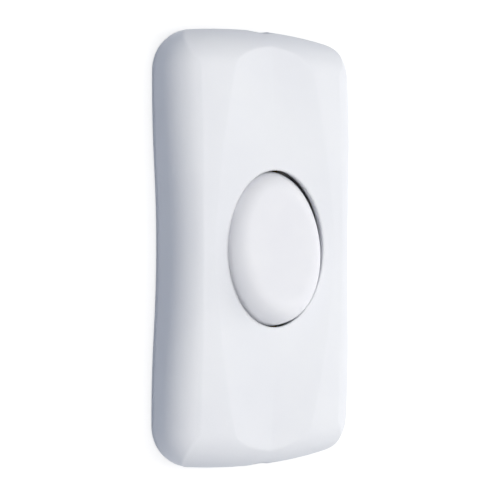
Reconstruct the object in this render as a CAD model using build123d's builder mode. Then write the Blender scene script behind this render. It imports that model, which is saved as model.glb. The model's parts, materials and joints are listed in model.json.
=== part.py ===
"""Inline cord switch: a rocker switch for a two-core lamp cord, in a waisted two-shell housing.

The switch lies on its back. X runs across it, Y along the cord, Z out of the front face.
The origin is the middle of the back face. Lengths are in millimetres, angles in degrees.
"""
import os
from math import asin, atan, cos, degrees, hypot, radians, sin

from build123d import *

# Housing
length = 84.0
end_width = 41.2
waist_depth = 0.95        # how far each flank draws in at the waist
flank_straight = 1.05     # of each flank, between its waist and its corner
end_rise = 1.65           # how far each end bulges past its corners
height = 11.9             # flat of the front face above the back
wall = 1.8
parting = 1.2             # height of the seam between base and cover
base_step = 0.2           # the base stands this far inside the cover's outline
base_chamfer = 0.3
floor = 1.6
lip_height = 1.4
lip_thickness = 1.2
fit_gap = 0.1             # base lip and collars inside the cover

# Shoulders, crowned face and scoops of the cover
crown_lift = 0.9          # top of the crown above the flat that is cut into it
crown_radius = 101.0      # of the face, across
bow_radius = 467.0        # of the face, lengthwise
shoulder_lift = 1.4       # top of the shoulders' steeper crown above that of the face
shoulder_crown = 48.0     # radius of the steeper crown
shoulder_radius = 5.8     # of the roll from the steeper crown to the sides
corner_radius = 8.3
end_crest = 0.12          # the corners stand this far outside the ends
end_rounding = 8.2
scoop_start = 6.5
scoop_radius = 120.0      # where the valley of a scoop bends down
scoop_slope = 3.4         # of the valley
scoop_reach = 14.0        # half-width of the scoops

# Rocker
opening_width = 21.6
opening_length = 29.4
rocker_gap = 0.45
pivot_depth = 4.0         # pivot below the face
rocker_tilt = 9.0         # either way from level
rocker_rise = 2.4         # rim above the face when level
rocker_dish = 0.5
rim_radius = 4.0
rocker_wall = 1.7
skirt_depth = 0.9         # skirt below the pivot
trunnion_radius = 1.3
running_gap = 0.05
post_thickness = 1.9
post_width = 7.0
post_border = 0.7         # post around its trunnion hole

# Switch mechanism, one set for each pole
pole_pitch = 9.2
strap_width = 3.6
strap_thickness = 0.8
blade_length = 16.0
blade_width = 3.4
blade_thickness = 0.6
blade_tilt = 7.0
lug_thickness = 0.5       # lugs that keep the blade on its fulcrum
lug_width = 1.6
lug_depth = 1.0
fulcrum_radius = 0.6
contact_radius = 1.2
contact_height = 0.6
contact_dome = 2.5
touch_gap = 0.02
plunger_radius = 1.5
plunger_length = 3.2
plunger_dome = 1.2
plunger_play = 0.05       # tip above the blade as it passes the middle
stem_radius = 2.5
stem_depth = 1.7          # stem below the pivot
spring_pin_radius = 0.55
spring_pin_length = 0.8
spring_wire = 0.36
spring_radius = 0.95
spring_turns = 4.0

# Terminals and clamps
terminal_place = 19.2     # middle of each terminal block from the middle of the switch
terminal_width = 6.2
terminal_length = 6.4
terminal_height = 6.2
terminal_chamfer = 0.4
wire_hole = 2.8
wire_hole_height = 3.0    # above the floor
terminal_screw = 2.5
terminal_head = 4.0
terminal_head_height = 1.5
divider_thickness = 1.2
divider_gap = 0.4         # under the pressed end of the rocker
pocket_wall = 1.0
cord_diameter = 5.0
cord_height = 4.3         # cord axis above the back
inlet_gap = 0.1
collar_border = 1.6       # collar beside the inlet
collar_depth = 6.0        # collar inwards from the end of the housing
clamp_inset = 13.0        # middle of each clamp from the end of the housing
clamp_pitch = 16.0
clamp_length = 22.0
clamp_width = 4.6
clamp_thickness = 2.4
clamp_seat = 5.8
pillar_radius = 2.7
clamp_screw = 2.2
clamp_head = 4.0
clamp_head_height = 1.0
clamp_screw_length = 5.6

# Cover screws
cover_screw_x = 13.0
cover_screw_y = 20.0
cover_screw = 2.5
cover_head = 4.6
cover_head_height = 1.6
cover_head_depth = 2.0    # seat of the head above the back
cover_screw_length = 7.5
boss_radius = 2.7
boss_foot = 3.6
screw_slot = 0.7
screw_slot_depth = 0.8
thread_gap = 0.03

# Worked out from the sizes above
waist_reach = length / 2 - end_rise - corner_radius - flank_straight
flank_turn = 2 * degrees(atan(waist_depth / waist_reach))
flank_radius = waist_reach / 2 / sin(radians(flank_turn))
end_radius = (end_width**2 / 4 + end_rise**2) / 2 / end_rise
spine = height + crown_lift
bow_turn = degrees(asin((length / 2 + wall) / (bow_radius - spine - wall)))
collar_half_width = cord_diameter / 2 + inlet_gap + collar_border
waist_width = end_width - 2 * waist_depth
clamp_place = length / 2 - clamp_inset
contact_arm = blade_length / 2 - contact_radius
pivot_height = height - pivot_depth
ball_radius = hypot(opening_length / 2, pivot_depth)
ball_half_width = opening_width / opening_length * ball_radius
trunnion_end = ball_half_width + post_thickness - fit_gap
rim_height = height + rocker_rise
skirt_low = pivot_height - skirt_depth - ball_radius * sin(radians(rocker_tilt))
pole_x = pole_pitch / 2
strap_top = floor + strap_thickness
fixed_contact_top = strap_top + contact_height

# The moving contact's dome just touches the fixed contact when the blade is tilted
dome_rise = touch_gap - contact_height + contact_dome
dome_y = contact_arm * cos(radians(blade_tilt)) + dome_rise * sin(radians(blade_tilt))
dome_z = dome_rise * cos(radians(blade_tilt)) - contact_arm * sin(radians(blade_tilt))
fulcrum_height = fixed_contact_top + touch_gap + contact_dome - dome_z
blade_bottom = fulcrum_height + touch_gap
blade_top = blade_bottom + blade_thickness
tip_height = blade_top + plunger_play
spring_seat = tip_height + plunger_length
bore_top = rim_height - rocker_dish - rocker_wall
spring_length = bore_top - spring_seat - spring_wire

bow_axis = Axis((0, 0, spine - bow_radius), (1, 0, 0))
pivot_axis = Axis((0, 0, pivot_height), (1, 0, 0))
fulcrum_axis = Axis((0, 0, fulcrum_height), (1, 0, 0))
cover_screw_places = [(cover_screw_x, cover_screw_y), (-cover_screw_x, -cover_screw_y)]
poles = {"live": -pole_x, "neutral": pole_x}
pocket_x = pole_x + (terminal_width + pocket_wall) / 2 + fit_gap
terminal_grip = terminal_height - wire_hole_height
clamp_screw_places = [
    (x * clamp_pitch / 2, y * clamp_place) for x in (-1, 1) for y in (-1, 1)
]


def end_bows(grow):
    """Two large circles whose arcs bow the ends of the housing."""
    with BuildSketch() as bows:
        with Locations((0, length / 2 - end_radius)):
            Circle(end_radius + grow)
        with Locations((0, end_radius - length / 2)):
            Circle(end_radius + grow, mode=Mode.INTERSECT)
    return bows.sketch


def flanks(inset):
    """Strip with waisted sides, drawn in by inset, that runs past both ends of the housing."""
    end = length / 2 + wall
    with BuildSketch() as strip:
        with BuildLine():
            waist = JernArc((waist_width / 2 - inset, 0), (0, 1), flank_radius + inset, -flank_turn)
            flank = JernArc(waist @ 1, waist % 1, flank_radius - inset, flank_turn)
            Polyline(flank @ 1, (end_width / 2 - inset, end), (0, end))
            mirror(about=Plane.XZ)
            mirror(about=Plane.YZ)
        make_face()
    return strip.sketch


def shoulder_plan(inset):
    """Plan of the shoulders, drawn in by inset: waisted flanks and round corners."""
    with BuildSketch() as plan:
        add(flanks(inset))
        add(end_bows(end_crest - inset), mode=Mode.INTERSECT)
        fillet(plan.vertices().group_by(SortBy.DISTANCE)[-1], corner_radius - inset)
    return plan.sketch


def outline(inset):
    """Plan of the housing, drawn in by inset: the shoulders' plan with its ends trimmed."""
    with BuildSketch() as plan:
        add(shoulder_plan(inset))
        add(end_bows(-inset), mode=Mode.INTERSECT)
    return plan.sketch


def crowned_form(top, radius):
    """Solid under a surface that is crowned across with the radius, and bowed lengthwise."""
    half_width = end_width / 2 + wall
    middle = bow_radius + top - spine - radius
    edge = middle + (radius**2 - half_width**2) ** 0.5
    foot = bow_radius - spine - wall
    section = Plane(
        origin=bow_axis.position, x_dir=(1, 0, 0),
        z_dir=(0, -cos(radians(bow_turn)), sin(radians(bow_turn))),
    )
    with BuildPart() as form:
        with BuildSketch(section):
            with BuildLine():
                ThreePointArc((-half_width, edge), (0, middle + radius), (half_width, edge))
                Polyline((half_width, edge), (half_width, foot), (-half_width, foot), (-half_width, edge))
            make_face()
        revolve(axis=bow_axis, revolution_arc=2 * bow_turn)
    return form.part


def shoulder_form(inset):
    """Solid with a steep crown, rolled over into its sides all round."""
    with BuildPart() as form:
        add(crowned_form(spine + shoulder_lift - inset, shoulder_crown - inset))
        with BuildSketch():
            add(shoulder_plan(inset))
        extrude(amount=spine + shoulder_lift, mode=Mode.INTERSECT)
        fillet(form.faces().sort_by(Axis.Z)[-1].edges(), shoulder_radius - inset)
    return form.part


def face_form(inset):
    """Solid under the face: crowned, rounded at its ends, with a flat cut into it."""
    with BuildPart() as form:
        add(crowned_form(spine - inset, crown_radius - inset))
        with BuildSketch():
            add(end_bows(-inset))
        extrude(amount=spine, both=True, mode=Mode.INTERSECT)
        crown = form.faces().sort_by(Axis.Z)[-1].edges().group_by(Axis.Y)
        fillet(crown[0] + crown[-1], end_rounding - inset)
        split(bisect_by=Plane.XY.offset(height - inset), keep=Keep.BOTTOM)
    return form.part


def end_scoops(inset):
    """Shallow valleys with a crease along the middle, deepening to both ends, lowered by inset."""
    lead = height + touch_gap - inset
    clear = spine
    end = length / 2 + wall
    bend_end = scoop_start + scoop_radius * sin(radians(scoop_slope))
    with BuildPart() as scoops:
        with BuildSketch(Plane.YZ):
            with BuildLine():
                bend = JernArc((scoop_start, lead), (1, 0), scoop_radius, -scoop_slope)
                valley = Line(bend @ 1, (bend @ 1) + (bend % 1) * (end - bend_end) / cos(radians(scoop_slope)))
                Polyline(valley @ 1, (end, clear), (scoop_start, clear), (scoop_start, lead))
            make_face()
        with BuildSketch(Plane.YZ.offset(scoop_reach)):
            with BuildLine():
                Polyline(
                    (scoop_start, lead), (bend_end, lead), (end, lead), (end, clear), (scoop_start, clear),
                    close=True,
                )
            make_face()
        loft(ruled=True)
        mirror(about=Plane.YZ)
        mirror(about=Plane.XZ)
    return scoops.part


def pivot_ball(inset):
    """Ellipsoid about the pivot axis, flat at the trunnions: its gap stays even as the rocker tips."""
    flat_angle = degrees(asin((trunnion_radius + post_border) / ball_radius))
    with BuildPart() as ball:
        with BuildSketch(Plane(origin=(0, 0, pivot_height), x_dir=(1, 0, 0), z_dir=(0, -1, 0))):
            with BuildLine():
                bowl = EllipticalCenterArc(
                    (0, 0), ball_half_width - inset, ball_radius - inset,
                    180 + flat_angle, arc_size=180 - 2 * flat_angle,
                )
                Polyline(bowl @ 1, ((bowl @ 1).X, 0), ((bowl @ 0).X, 0), bowl @ 0)
            make_face()
        revolve(axis=pivot_axis)
    return ball.part


def inlet_bores():
    """Round cord holes through both ends."""
    with BuildPart() as bores:
        with BuildSketch(Plane.XZ.offset(collar_depth + wall - length / 2)):
            with Locations((0, cord_height)):
                Circle(cord_diameter / 2 + inlet_gap)
        extrude(amount=-collar_depth - 2 * wall)
        mirror(about=Plane.XZ)
    return bores.part


def inlet_blocks(gap, top):
    """Blocks round the inlets, from the seam up to the height top, wider by gap on each side."""
    with BuildPart() as blocks:
        with BuildSketch(Plane.XZ.offset(collar_depth + gap - length / 2)):
            with Locations((0, (parting + top) / 2)):
                Rectangle(2 * (collar_half_width + gap), top - parting)
        extrude(amount=-collar_depth - gap - wall)
        mirror(about=Plane.XZ)
    return blocks.part


def under_dish(drop, bottom):
    """Side profile from the height bottom up to the rocker's dished face, lowered by drop."""
    left = (-ball_radius, rim_height - drop)
    right = (ball_radius, rim_height - drop)
    with BuildSketch() as profile:
        with BuildLine():
            ThreePointArc(left, (0, rim_height - rocker_dish - drop), right)
            Polyline(right, (ball_radius, bottom), (-ball_radius, bottom), left)
        make_face()
    return profile.sketch


def rocker_hollow():
    """Space inside the rocker, an even wall from its skirt and its face."""
    with BuildPart() as space:
        add(pivot_ball(rocker_gap + rocker_wall))
        with BuildSketch(Plane.YZ):
            add(under_dish(rocker_wall, pivot_height - ball_radius))
        extrude(amount=opening_width, both=True, mode=Mode.INTERSECT)
    return space.part


def terminal(x, place, strap_end):
    """Brass block with a wire hole and a screw hole, and a flat strap from it towards the middle."""
    with BuildPart() as block:
        with Locations((x, place, floor)):
            Box(
                terminal_width, terminal_length, terminal_height,
                align=(Align.CENTER, Align.CENTER, Align.MIN),
            )
        chamfer(block.edges().filter_by(Axis.Z), terminal_chamfer)
        with Locations((x, (place + strap_end) / 2, floor)):
            Box(
                strap_width, abs(place - strap_end), strap_thickness,
                align=(Align.CENTER, Align.CENTER, Align.MIN),
            )
        with Locations((x, place, floor + wire_hole_height)):
            Cylinder(wire_hole / 2, terminal_length, rotation=(90, 0, 0), mode=Mode.SUBTRACT)
            Cylinder(
                terminal_screw / 2 + thread_gap, terminal_height,
                align=(Align.CENTER, Align.CENTER, Align.MIN), mode=Mode.SUBTRACT,
            )
    return block.part


def slotted_screw(head_radius, head_height, shank_radius, shank_length):
    """Screw standing on its seat at the origin, head up, with a straight slot."""
    with BuildPart() as screw:
        Cylinder(head_radius, head_height, align=(Align.CENTER, Align.CENTER, Align.MIN))
        chamfer(screw.faces().sort_by(Axis.Z)[-1].edges(), head_height / 5)
        Cylinder(shank_radius, shank_length, align=(Align.CENTER, Align.CENTER, Align.MAX))
        with Locations((0, 0, head_height)):
            Box(
                2 * head_radius, screw_slot, screw_slot_depth,
                align=(Align.CENTER, Align.CENTER, Align.MAX), mode=Mode.SUBTRACT,
            )
    return screw.part


def write(part, name):
    """Label a finished piece and write it."""
    part.label = name
    export_step(part, f"parts/{name}.step")


os.makedirs("parts", exist_ok=True)

# Hollow of the cover, with the screw bosses and the inlets' collars left standing in it
with BuildPart() as hollow:
    add(shoulder_form(wall))
    add(face_form(wall), mode=Mode.INTERSECT)
    add(end_scoops(wall), mode=Mode.SUBTRACT)
    add(inlet_blocks(0, spine), mode=Mode.SUBTRACT)
    with BuildSketch(Plane.XY.offset(boss_foot)):
        with Locations(*cover_screw_places):
            Circle(boss_radius)
    extrude(amount=height, mode=Mode.SUBTRACT)

# Cover
with BuildPart() as cover:
    add(shoulder_form(0))
    add(face_form(0), mode=Mode.INTERSECT)
    split(bisect_by=Plane.XY.offset(parting), keep=Keep.TOP)
    add(end_scoops(0), mode=Mode.SUBTRACT)
    add(hollow.part, mode=Mode.SUBTRACT)
    add(pivot_ball(0), mode=Mode.SUBTRACT)
    add(inlet_blocks(fit_gap, cord_height), mode=Mode.SUBTRACT)
    add(inlet_bores(), mode=Mode.SUBTRACT)
    with BuildSketch(Plane.XY.offset(boss_foot)):
        with Locations(*cover_screw_places):
            Circle(cover_screw / 2 + thread_gap)
    extrude(amount=cover_screw_length - boss_foot + cover_head_depth, mode=Mode.SUBTRACT)
write(cover.part, "cover")

# Lower halves of the inlets' collars, which stand on the base
with BuildPart() as collars:
    add(shoulder_form(0))
    add(face_form(0), mode=Mode.INTERSECT)
    add(inlet_blocks(0, cord_height), mode=Mode.INTERSECT)

# Base: tray, lip inside the cover, collars under the inlets, pillars, posts and ribs
with BuildPart() as base:
    with BuildSketch():
        add(outline(base_step + base_chamfer))
    with BuildSketch(Plane.XY.offset(base_chamfer)):
        add(outline(base_step))
    loft(ruled=True)
    with BuildSketch(Plane.XY.offset(base_chamfer)):
        add(outline(base_step))
    extrude(amount=parting - base_chamfer)
    with BuildSketch(Plane.XY.offset(parting)):
        add(outline(wall + fit_gap))
    extrude(amount=floor - parting)
    with BuildSketch(Plane.XY.offset(floor)):
        add(outline(wall + fit_gap))
        add(outline(wall + fit_gap + lip_thickness), mode=Mode.SUBTRACT)
    extrude(amount=lip_height)
    add(collars.part)
    add(inlet_bores(), mode=Mode.SUBTRACT)
    # Posts that carry the rocker's trunnions
    for side in (-1, 1):
        with BuildSketch(Plane.YZ.offset(side * ball_half_width)):
            with Locations((0, (floor + pivot_height) / 2)):
                Rectangle(post_width, pivot_height - floor)
            with Locations((0, pivot_height)):
                Circle(trunnion_radius + post_border)
                Circle(trunnion_radius + running_gap, mode=Mode.SUBTRACT)
        extrude(amount=side * post_thickness)
    # Divider between the poles and outer walls of the terminal pockets
    with BuildSketch(Plane.XY.offset(floor)):
        Rectangle(divider_thickness, 2 * terminal_place + terminal_length)
    extrude(amount=skirt_low - divider_gap - floor)
    with BuildSketch(Plane.XY.offset(floor)):
        with GridLocations(2 * pocket_x, 2 * terminal_place, 2, 2):
            Rectangle(pocket_wall, terminal_length)
    extrude(amount=boss_foot - floor)
    # Pillars under the cord clamps
    with BuildSketch(Plane.XY.offset(floor)):
        with Locations(*clamp_screw_places):
            Circle(pillar_radius)
    extrude(amount=clamp_seat - floor)
    with BuildSketch(Plane.XY.offset(clamp_seat)):
        with Locations(*clamp_screw_places):
            Circle(clamp_screw / 2 + thread_gap)
    extrude(amount=floor - clamp_seat, mode=Mode.SUBTRACT)
    # Counterbored pillars for the cover screws
    with BuildSketch(Plane.XY.offset(floor)):
        with Locations(*cover_screw_places):
            Circle(boss_radius)
    extrude(amount=boss_foot - floor)
    with BuildSketch():
        with Locations(*cover_screw_places):
            Circle(cover_head / 2 + fit_gap)
    extrude(amount=cover_head_depth, mode=Mode.SUBTRACT)
    with BuildSketch():
        with Locations(*cover_screw_places):
            Circle(cover_screw / 2 + fit_gap)
    extrude(amount=boss_foot, mode=Mode.SUBTRACT)
write(base.part, "base")

# Rocker: dished oval button on an ellipsoid skirt, with trunnions and two plunger stems
with BuildPart() as rocker:
    add(pivot_ball(rocker_gap))
    with BuildSketch(Plane.YZ):
        add(under_dish(0, pivot_height - skirt_depth))
    extrude(amount=opening_width, both=True, mode=Mode.INTERSECT)
    fillet(rocker.faces().filter_by(GeomType.CYLINDER)[0].edges(), rim_radius)
    add(rocker_hollow(), mode=Mode.SUBTRACT)
    for side in (-1, 1):
        with BuildSketch(Plane.YZ.offset(side * trunnion_end)):
            with Locations((0, pivot_height)):
                Circle(trunnion_radius)
        extrude(amount=-side * (post_thickness + rocker_gap + rocker_wall))
    with BuildSketch(Plane.XY.offset(pivot_height - stem_depth)):
        with Locations((-pole_x, 0), (pole_x, 0)):
            Circle(stem_radius)
    extrude(amount=bore_top + rocker_wall / 2 - pivot_height + stem_depth)
    with BuildSketch(Plane.XY.offset(pivot_height - stem_depth)):
        with Locations((-pole_x, 0), (pole_x, 0)):
            Circle(plunger_radius + running_gap)
    extrude(amount=bore_top - pivot_height + stem_depth, mode=Mode.SUBTRACT)
write(rocker.part.rotate(pivot_axis, -rocker_tilt), "rocker")

# Plungers and springs, in the rocker's stems
for pole, x in poles.items():
    with BuildPart() as plunger:
        with Locations((x, 0, tip_height)):
            Cylinder(plunger_radius, plunger_length, align=(Align.CENTER, Align.CENTER, Align.MIN))
        fillet(plunger.faces().sort_by(Axis.Z)[0].edges(), plunger_dome)
        with Locations((x, 0, spring_seat)):
            Cylinder(spring_pin_radius, spring_pin_length, align=(Align.CENTER, Align.CENTER, Align.MIN))
    write(plunger.part.rotate(pivot_axis, -rocker_tilt), f"{pole}_plunger")

    with BuildPart() as spring:
        with BuildLine() as coil:
            Helix(
                spring_length / spring_turns, spring_length, spring_radius,
                center=(x, 0, spring_seat + spring_wire / 2 + touch_gap),
            )
        with BuildSketch(Plane(coil.line @ 0, z_dir=coil.line % 0)):
            Circle(spring_wire / 2)
        sweep(path=coil.line)
    write(spring.part.rotate(pivot_axis, -rocker_tilt), f"{pole}_spring")

# Blades, contacts and terminals
for pole, x in poles.items():
    with BuildPart() as blade:
        with BuildSketch(Plane.XY.offset(blade_bottom)):
            with Locations((x, 0)):
                SlotOverall(blade_length, blade_width, rotation=90)
        extrude(amount=blade_thickness)
        with BuildSketch(Plane.XY.offset(blade_bottom)):
            with Locations((x, 0)):
                with GridLocations(blade_width - lug_thickness, 0, 2, 1):
                    Rectangle(lug_thickness, lug_width)
        extrude(amount=-lug_depth)
    write(blade.part.rotate(fulcrum_axis, blade_tilt), f"{pole}_blade")

    with BuildPart() as moving_contact:
        with Locations((x, -contact_arm, blade_bottom)):
            Cylinder(contact_radius, contact_height, align=(Align.CENTER, Align.CENTER, Align.MAX))
        with Locations((x, -contact_arm, blade_bottom - contact_height + contact_dome)):
            Sphere(contact_dome, mode=Mode.INTERSECT)
    write(moving_contact.part.rotate(fulcrum_axis, blade_tilt), f"{pole}_moving_contact")

    with BuildPart() as fixed_contact:
        with Locations((x, -dome_y, strap_top)):
            Cylinder(contact_radius, contact_height, align=(Align.CENTER, Align.CENTER, Align.MIN))
        chamfer(fixed_contact.faces().sort_by(Axis.Z)[-1].edges(), contact_height / 4)
    write(fixed_contact.part, f"{pole}_fixed_contact")

    with BuildPart() as feed:
        add(terminal(x, terminal_place, -fulcrum_radius - strap_thickness))
        with BuildSketch(Plane.YZ.offset(x)):
            with Locations((0, fulcrum_height - fulcrum_radius)):
                Circle(fulcrum_radius)
            with Locations((0, (floor + fulcrum_height - fulcrum_radius) / 2)):
                Rectangle(2 * fulcrum_radius, fulcrum_height - fulcrum_radius - floor)
        extrude(amount=blade_width / 2 - lug_thickness - fit_gap, both=True)
    write(feed.part, f"{pole}_feed_terminal")

    write(terminal(x, -terminal_place, -dome_y + contact_radius + strap_thickness), f"{pole}_load_terminal")

# Screws, in groups of like ones
with BuildPart() as terminal_screws:
    with Locations((0, 0, floor + terminal_height)):
        with GridLocations(pole_pitch, 2 * terminal_place, 2, 2):
            add(slotted_screw(terminal_head / 2, terminal_head_height, terminal_screw / 2, terminal_grip))
write(terminal_screws.part, "terminal_screws")

with BuildPart() as clamp_screws:
    with Locations((0, 0, clamp_seat + clamp_thickness)):
        with GridLocations(clamp_pitch, 2 * clamp_place, 2, 2):
            add(slotted_screw(clamp_head / 2, clamp_head_height, clamp_screw / 2, clamp_screw_length))
write(clamp_screws.part, "clamp_screws")

with BuildPart() as cover_screws:
    for x, y in cover_screw_places:
        with Locations(Location((x, y, cover_head_depth), (180, 0, 0))):
            add(slotted_screw(cover_head / 2, cover_head_height, cover_screw / 2, cover_screw_length))
write(cover_screws.part, "cover_screws")

# Cord clamps, one at each end
for name, place in {"cord_clamp_top": clamp_place, "cord_clamp_bottom": -clamp_place}.items():
    with BuildPart() as clamp:
        with BuildSketch(Plane.XZ.offset(-place)):
            with Locations((0, clamp_seat + clamp_thickness / 2)):
                Rectangle(clamp_length, clamp_thickness)
            with Locations((0, cord_height)):
                Circle(cord_diameter / 2, mode=Mode.SUBTRACT)
        extrude(amount=clamp_width / 2, both=True)
        fillet(clamp.edges().filter_by(Axis.Z).group_by(SortBy.DISTANCE)[-1], clamp_width / 4)
        with BuildSketch(Plane.XY.offset(clamp_seat)):
            with Locations((-clamp_pitch / 2, place), (clamp_pitch / 2, place)):
                Circle(clamp_screw / 2 + fit_gap)
        extrude(amount=clamp_thickness, mode=Mode.SUBTRACT)
    write(clamp.part, name)
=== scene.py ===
"""Looks of the inline cord switch: finishes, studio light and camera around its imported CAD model.

The switch lies on its back, X across it, Y along the cord, Z out of its face. Lengths are in
metres unless a name says millimetres or pixels, and angles are in degrees.
"""
import json
import math

import bpy
from mathutils import Matrix, Vector


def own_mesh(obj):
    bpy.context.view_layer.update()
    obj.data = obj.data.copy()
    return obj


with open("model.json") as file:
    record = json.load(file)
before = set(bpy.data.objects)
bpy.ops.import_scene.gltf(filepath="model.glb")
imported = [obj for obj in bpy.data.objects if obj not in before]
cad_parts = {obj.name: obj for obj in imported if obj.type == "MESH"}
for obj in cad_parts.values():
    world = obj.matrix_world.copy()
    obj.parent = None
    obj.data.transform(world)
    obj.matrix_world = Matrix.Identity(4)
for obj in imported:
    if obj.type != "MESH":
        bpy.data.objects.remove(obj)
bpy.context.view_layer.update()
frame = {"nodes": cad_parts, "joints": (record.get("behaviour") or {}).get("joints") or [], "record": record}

# Camera, as in the photograph
frame_pixels = 500
focal_pixels = 1270
view_turn = 33.2          # to the left of straight above the face
view_tip = 0.76           # towards the upper end
view_roll = 0.17
view_distance = 0.2438
aim_height = 0.0064
aim_pixel = (260.8, 248.5)     # where the aimed point falls in the frame, from its upper left

# Light and floor
sky_level = 0.13
sky_colour = "D9E6FF"
lamp_colour = "FFFDFA"
# Each soft lamp's side, place and power in watts
lamps = {
    "overhead_lamp": (0.6, (0.03, 0.02, 0.6), 2.0),
    "camera_side_lamp": (1.0, (-0.36, 0.03, 0.6), 0.75),
    "right_lamp": (0.4, (0.56, 0.0, 0.2), 1.9),
    "upper_end_lamp": (0.8, (0.0, 0.45, 0.4), 0.7),
    "lower_end_lamp": (0.8, (-0.18, -0.42, 0.42), 1.2),
}
unmirrored_lamp = "right_lamp"     # its mirror image would burn out the face seen from the left
floor_size = 4.0
floor_glow = 0.62         # the floor's own white, so that only a faint shadow stays on it
floor_shade = 0.5         # grey that takes the shadow
bounce_colour = "9DA9BE"       # the floor as the switch's sides are lit by it

# Finishes
cloud_span = (0.3, 0.7)        # parts of the noise's range over which a colour changes
tarnish_span = (0.3, 0.62)
edge_samples = 8
glow_share = 0.5               # of a plastic's matt light that spreads inside it


def linear(colour):
    """An sRGB hex colour, such as "EDEDEF", as linear RGBA."""
    parts = [int(colour[i:i + 2], 16) / 255 for i in (0, 2, 4)]
    return [p / 12.92 if p <= 0.04045 else ((p + 0.055) / 1.055) ** 2.4 for p in parts] + [1.0]


def per_size(millimetres):
    """Scale of a texture whose features have that size."""
    return 1000 / millimetres


def add_node(tree, kind, settings=None, links=None):
    """Add a node; settings are its attributes or unlinked sockets, links the outputs that it takes."""
    made = tree.nodes.new(kind)
    for name, value in (settings or {}).items():
        if hasattr(made, str(name)):
            setattr(made, name, value)
        else:
            made.inputs[name].default_value = value
    for name, source in (links or {}).items():
        tree.links.new(source, made.inputs[name])
    return made


def new_material(name):
    """An empty node material and its tree."""
    material = bpy.data.materials.new(name)
    material.use_nodes = True
    material.node_tree.nodes.clear()
    return material, material.node_tree


def moulded_plastic(
    name, colours, roughness, grain, grain_depth, cloud, ior, glow_depth, edge_softness
):
    """Moulded plastic: cloudy from its flow in the mould, with the grain of an eroded steel cavity.

    colours are the darkest and lightest of the clouds, roughness its least and most.
    grain and grain_depth are its size and depth, cloud the size of the clouds, glow_depth how far
    light spreads in it and edge_softness the rounding of its creases, all in millimetres.
    """
    material, tree = new_material(name)
    place = add_node(tree, "ShaderNodeTexCoord").outputs["Object"]
    clouds = add_node(
        tree, "ShaderNodeTexNoise", {"Scale": per_size(cloud), "Detail": 3.0, "Roughness": 0.5},
        {"Vector": place},
    ).outputs["Fac"]
    grains = add_node(
        tree, "ShaderNodeTexNoise", {"Scale": per_size(grain), "Detail": 2.0, "Roughness": 0.6},
        {"Vector": place},
    ).outputs["Fac"]
    tint = add_node(tree, "ShaderNodeValToRGB", links={"Fac": clouds})
    for stop, position, colour in zip(tint.color_ramp.elements, cloud_span, colours):
        stop.position = position
        stop.color = linear(colour)
    sheen = add_node(
        tree, "ShaderNodeMapRange", {"To Min": roughness[0], "To Max": roughness[1]}, {"Value": grains}
    ).outputs["Result"]
    rounded = add_node(
        tree, "ShaderNodeBevel", {"samples": edge_samples, "Radius": edge_softness / 1000}
    ).outputs["Normal"]
    relief = add_node(
        tree, "ShaderNodeBump", {"Strength": 1.0, "Distance": grain_depth / 1000},
        {"Height": grains, "Normal": rounded},
    ).outputs["Normal"]
    surface = add_node(
        tree, "ShaderNodeBsdfPrincipled",
        {
            "IOR": ior, "Subsurface Weight": glow_share,
            "Subsurface Radius": (1.0, 1.0, 1.0), "Subsurface Scale": glow_depth / 1000,
        },
        {"Base Color": tint.outputs["Color"], "Roughness": sheen, "Normal": relief},
    )
    add_node(tree, "ShaderNodeOutputMaterial", links={"Surface": surface.outputs["BSDF"]})
    return material


def worked_metal(name, colours, roughness, line, line_run, line_depth, stain):
    """Metal with the fine parallel lines of rolling, drawing or turning, and a little tarnish.

    colours are tarnished and bright, roughness its least and most. line is the spacing of the
    lines, line_run their length along Y, line_depth their depth and stain the size of the tarnish,
    all in millimetres.
    """
    material, tree = new_material(name)
    place = add_node(tree, "ShaderNodeTexCoord").outputs["Object"]
    scales = (per_size(line), per_size(line_run), per_size(line))
    drawn_out = add_node(
        tree, "ShaderNodeMapping", {"Scale": scales}, {"Vector": place}
    ).outputs["Vector"]
    lines = add_node(
        tree, "ShaderNodeTexNoise", {"Scale": 1.0, "Detail": 2.0, "Roughness": 0.6},
        {"Vector": drawn_out},
    ).outputs["Fac"]
    stains = add_node(
        tree, "ShaderNodeTexNoise", {"Scale": per_size(stain), "Detail": 4.0, "Roughness": 0.6},
        {"Vector": place},
    ).outputs["Fac"]
    tint = add_node(tree, "ShaderNodeValToRGB", links={"Fac": stains})
    for stop, position, colour in zip(tint.color_ramp.elements, tarnish_span, colours):
        stop.position = position
        stop.color = linear(colour)
    sheen = add_node(
        tree, "ShaderNodeMapRange", {"To Min": roughness[1], "To Max": roughness[0]}, {"Value": stains}
    ).outputs["Result"]
    relief = add_node(
        tree, "ShaderNodeBump", {"Strength": 1.0, "Distance": line_depth / 1000}, {"Height": lines}
    ).outputs["Normal"]
    surface = add_node(
        tree, "ShaderNodeBsdfPrincipled", {"Metallic": 1.0},
        {"Base Color": tint.outputs["Color"], "Roughness": sheen, "Normal": relief},
    )
    add_node(tree, "ShaderNodeOutputMaterial", links={"Surface": surface.outputs["BSDF"]})
    return material


def background_rays(tree):
    """1 for rays that should meet plain white: those from the camera, and mirrored or refracted ones."""
    rays = add_node(tree, "ShaderNodeLightPath").outputs
    mirrored = add_node(
        tree, "ShaderNodeMath", {"operation": "MAXIMUM"},
        {0: rays["Is Glossy Ray"], 1: rays["Is Transmission Ray"]},
    ).outputs["Value"]
    return add_node(
        tree, "ShaderNodeMath", {"operation": "MAXIMUM"}, {0: rays["Is Camera Ray"], 1: mirrored}
    ).outputs["Value"]


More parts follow.
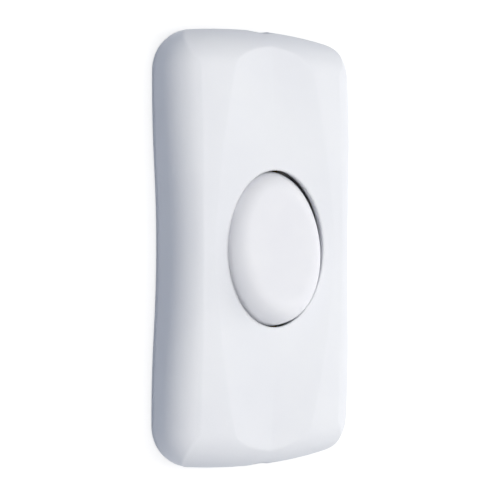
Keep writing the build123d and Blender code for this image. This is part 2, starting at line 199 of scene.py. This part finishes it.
def lay_floor():
    """White paper sweep under the switch, which shows as white and keeps a faint shadow."""
    bpy.ops.mesh.primitive_plane_add(size=floor_size)
    floor = bpy.context.object
    floor.name = "floor"
    material, tree = new_material("white_paper")
    paper = add_node(tree, "ShaderNodeBsdfDiffuse", {"Color": linear(bounce_colour)}).outputs["BSDF"]
    grey = (floor_shade, floor_shade, floor_shade, 1.0)
    shade = add_node(tree, "ShaderNodeBsdfDiffuse", {"Color": grey}).outputs["BSDF"]
    glow = add_node(tree, "ShaderNodeEmission", {"Strength": floor_glow}).outputs["Emission"]
    shown = add_node(tree, "ShaderNodeAddShader", links={0: shade, 1: glow}).outputs["Shader"]
    both = add_node(
        tree, "ShaderNodeMixShader", links={"Fac": background_rays(tree), 1: paper, 2: shown}
    ).outputs["Shader"]
    add_node(tree, "ShaderNodeOutputMaterial", links={"Surface": both})
    floor.data.materials.append(material)


def light_room():
    """Cool even room and soft lamps all around that face the switch, as in a light tent."""
    world = bpy.data.worlds.new("white_room")
    bpy.context.scene.world = world
    world.use_nodes = True
    tree = world.node_tree
    tree.nodes.clear()
    room = add_node(
        tree, "ShaderNodeBackground", {"Color": linear(sky_colour), "Strength": sky_level}
    ).outputs["Background"]
    white = add_node(tree, "ShaderNodeBackground", {"Color": linear("FFFFFF")}).outputs["Background"]
    both = add_node(
        tree, "ShaderNodeMixShader", links={"Fac": background_rays(tree), 1: room, 2: white}
    ).outputs["Shader"]
    add_node(tree, "ShaderNodeOutputWorld", links={"Surface": both})

    for name, (side, place, power) in lamps.items():
        lamp = bpy.data.lights.new(name, "AREA")
        lamp.size = side
        lamp.energy = power
        lamp.color = linear(lamp_colour)[:3]
        hung = bpy.data.objects.new(name, lamp)
        bpy.context.collection.objects.link(hung)
        hung.location = place
        hung.rotation_euler = Vector(place).to_track_quat("Z", "Y").to_euler()
        hung.visible_glossy = name != unmirrored_lamp


def place_camera():
    """Camera that sees the switch as the photograph does."""
    turn, tip, roll = (math.radians(angle) for angle in (view_turn, view_tip, view_roll))
    along = Vector((0, 1, 0))
    out = Vector((-math.sin(turn), 0, math.cos(turn)))
    side = Vector((math.cos(turn), 0, math.sin(turn)))
    back = out * math.cos(tip) + along * math.sin(tip)
    up = along * math.cos(tip) - out * math.sin(tip)
    right = side * math.cos(roll) + up * math.sin(roll)
    up = up * math.cos(roll) - side * math.sin(roll)

    lens = bpy.data.cameras.new("camera")
    lens.lens = lens.sensor_width * focal_pixels / frame_pixels
    lens.shift_x = 0.5 - aim_pixel[0] / frame_pixels
    lens.shift_y = aim_pixel[1] / frame_pixels - 0.5
    lens.clip_start = view_distance / 20
    camera = bpy.data.objects.new("camera", lens)
    bpy.context.collection.objects.link(camera)
    stand = Matrix.Translation(Vector((0, 0, aim_height)) + back * view_distance)
    camera.matrix_world = stand @ Matrix((right, up, back)).transposed().to_4x4()
    bpy.context.scene.camera = camera


# Satin ABS, moulded in a finely eroded cavity: an even, slightly cool white with soft highlights.
# The real grain is under 0.1 mm and is drawn coarser to show at all.
satin_abs = moulded_plastic(
    "satin_abs", ("E7E9EE", "EBEDF1"), (0.4, 0.5), grain=0.35, grain_depth=0.012,
    cloud=16.0, ior=1.54, glow_depth=0.9, edge_softness=0.8,
)
# The same plastic from a smoother cavity, where a finger presses: its grain hardly shows
smooth_abs = moulded_plastic(
    "smooth_abs", ("EAEBF0", "EEEFF3"), (0.42, 0.5), grain=0.3, grain_depth=0.003,
    cloud=9.0, ior=1.54, glow_depth=0.9, edge_softness=0.8,
)
# Natural nylon: a warm, milky white that light enters a little
natural_nylon = moulded_plastic(
    "natural_nylon", ("DDD5BE", "E8E2D0"), (0.38, 0.5), grain=0.3, grain_depth=0.004,
    cloud=3.0, ior=1.53, glow_depth=0.8, edge_softness=0.1,
)
# Drawn spring wire: grey and bright, with fine drawing marks
drawn_wire = worked_metal(
    "drawn_wire", ("6E7075", "9A9CA1"), (0.22, 0.34),
    line=0.08, line_run=0.6, line_depth=0.002, stain=0.6,
)
# Rolled bronze strip: warm, with lines along the rolling direction
rolled_bronze = worked_metal(
    "rolled_bronze", ("A9683C", "CC8E5E"), (0.2, 0.36),
    line=0.07, line_run=5.0, line_depth=0.002, stain=3.0,
)
# Headed silver alloy: pale, with a faint yellow tarnish
headed_silver = worked_metal(
    "headed_silver", ("BDB6A2", "E2E0DA"), (0.16, 0.3),
    line=0.09, line_run=0.09, line_depth=0.001, stain=0.9,
)
# Stamped and drilled brass: yellow, with tool lines
stamped_brass = worked_metal(
    "stamped_brass", ("A97F36", "CFA95A"), (0.2, 0.36),
    line=0.08, line_run=4.0, line_depth=0.002, stain=2.5,
)
# Zinc plate on steel: a bluish bright grey with a fine cloudy bloom
zinc_plate = worked_metal(
    "zinc_plate", ("9EA2AA", "C3C6CC"), (0.24, 0.38),
    line=0.1, line_run=0.1, line_depth=0.0015, stain=0.7,
)

finishes = {
    "housing_plastic": satin_abs,
    "rocker_plastic": smooth_abs,
    "nylon": natural_nylon,
    "spring_steel": drawn_wire,
    "copper_alloy": rolled_bronze,
    "contact_silver": headed_silver,
    "terminal_brass": stamped_brass,
    "screw_steel": zinc_plate,
}
for piece in frame["record"]["subparts"]:
    mesh = frame["nodes"][piece["node"]].data
    mesh.materials.clear()
    mesh.materials.append(finishes[piece["material_slot"]])

# Each spring that its plunger presses together against the closed end of its stem gets a mesh of its own
for joint in frame["joints"]:
    for pressed in joint.get("deforming_nodes", []):
        spring = frame["nodes"][pressed["node"]]
        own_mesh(spring)

lay_floor()
light_room()
place_camera()
bpy.context.scene.view_settings.view_transform = "Standard"
